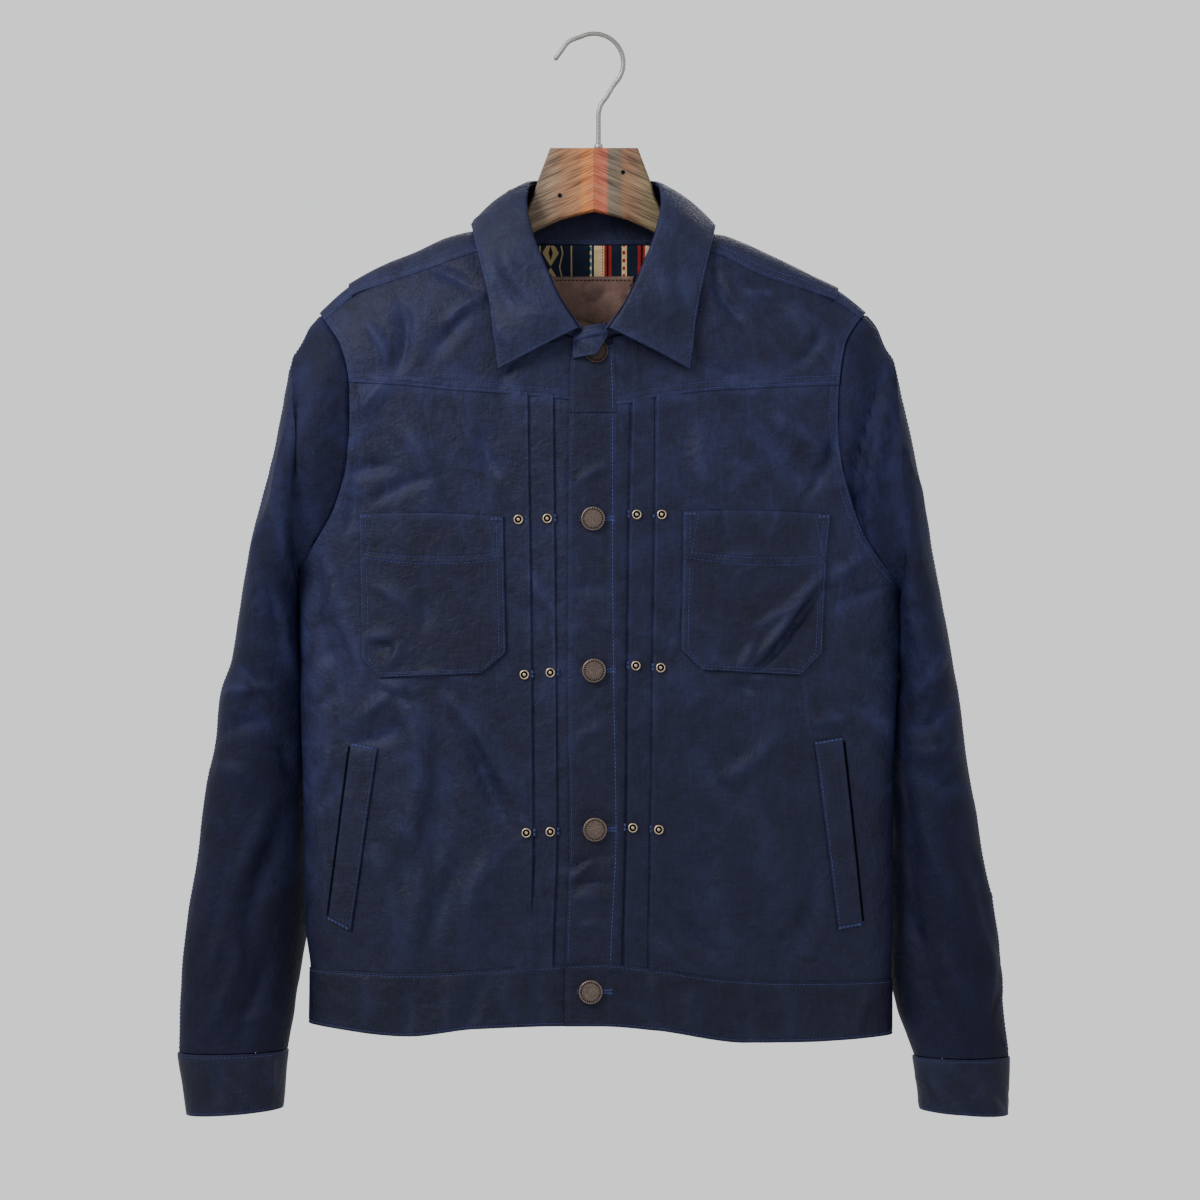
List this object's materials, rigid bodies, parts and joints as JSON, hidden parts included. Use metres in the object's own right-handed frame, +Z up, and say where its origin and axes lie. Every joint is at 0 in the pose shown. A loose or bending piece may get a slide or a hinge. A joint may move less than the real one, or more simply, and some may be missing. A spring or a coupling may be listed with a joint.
{
  "type": "waxed cotton jacket on a wooden hanger",
  "caption": "Buttoned waxed cotton trucker-style jacket hung on a flat wooden hanger with a wire hook; chest patch pockets, slanted side pockets, pleated fronts",
  "frame": {"origin": "where a peg carries the hook: the inner top of its bend", "axes": "+X to the right seen from the front, -Y out of the jacket's front, +Z up"},
  "size_m": [0.6677, 0.1216, 0.8677],
  "materials": {
    "waxed_cotton": "matt waxed cotton, dark navy, with tone-on-tone stitching",
    "lining_cloth": "woven cotton, dark blue with upright stripes",
    "brown_leather": "matt brown leather, bare",
    "button_metal": "aged copper",
    "rivet_metal": "aged brass",
    "hanger_wood": "reclaimed wood, matt",
    "hook_wire": "dull steel wire"
  },
  "bodies": {
    "root": {"front_panel_left": "waxed_cotton", "front_yoke_left": "waxed_cotton", "sleeve_front_left": "waxed_cotton", "sleeve_back_left": "waxed_cotton", "cuff_left": "waxed_cotton", "hem_band_left": "waxed_cotton", "pocket_left": "waxed_cotton", "pocket_top_left": "waxed_cotton", "welt_left": "waxed_cotton", "front_panel_right": "waxed_cotton", "front_yoke_right": "waxed_cotton", "sleeve_front_right": "waxed_cotton", "sleeve_back_right": "waxed_cotton", "cuff_right": "waxed_cotton", "hem_band_right": "waxed_cotton", "pocket_right": "waxed_cotton", "pocket_top_right": "waxed_cotton", "welt_right": "waxed_cotton", "back_panel": "waxed_cotton", "hem_band_back": "waxed_cotton", "placket_upper": "waxed_cotton", "placket_lower": "waxed_cotton", "collar_leaf": "waxed_cotton", "collar_stand": "waxed_cotton", "button_0": "button_metal", "button_1": "button_metal", "button_2": "button_metal", "button_3": "button_metal", "button_4": "button_metal", "rivet_00": "rivet_metal", "rivet_01": "rivet_metal", "rivet_02": "rivet_metal", "rivet_03": "rivet_metal", "rivet_04": "rivet_metal", "rivet_05": "rivet_metal", "rivet_06": "rivet_metal", "rivet_07": "rivet_metal", "rivet_08": "rivet_metal", "rivet_09": "rivet_metal", "rivet_10": "rivet_metal", "rivet_11": "rivet_metal", "neck_lining": "lining_cloth", "leather_patch": "brown_leather", "hanger_wood": "hanger_wood", "hanger_hook": "hook_wire"}
  },
  "joints": []
}
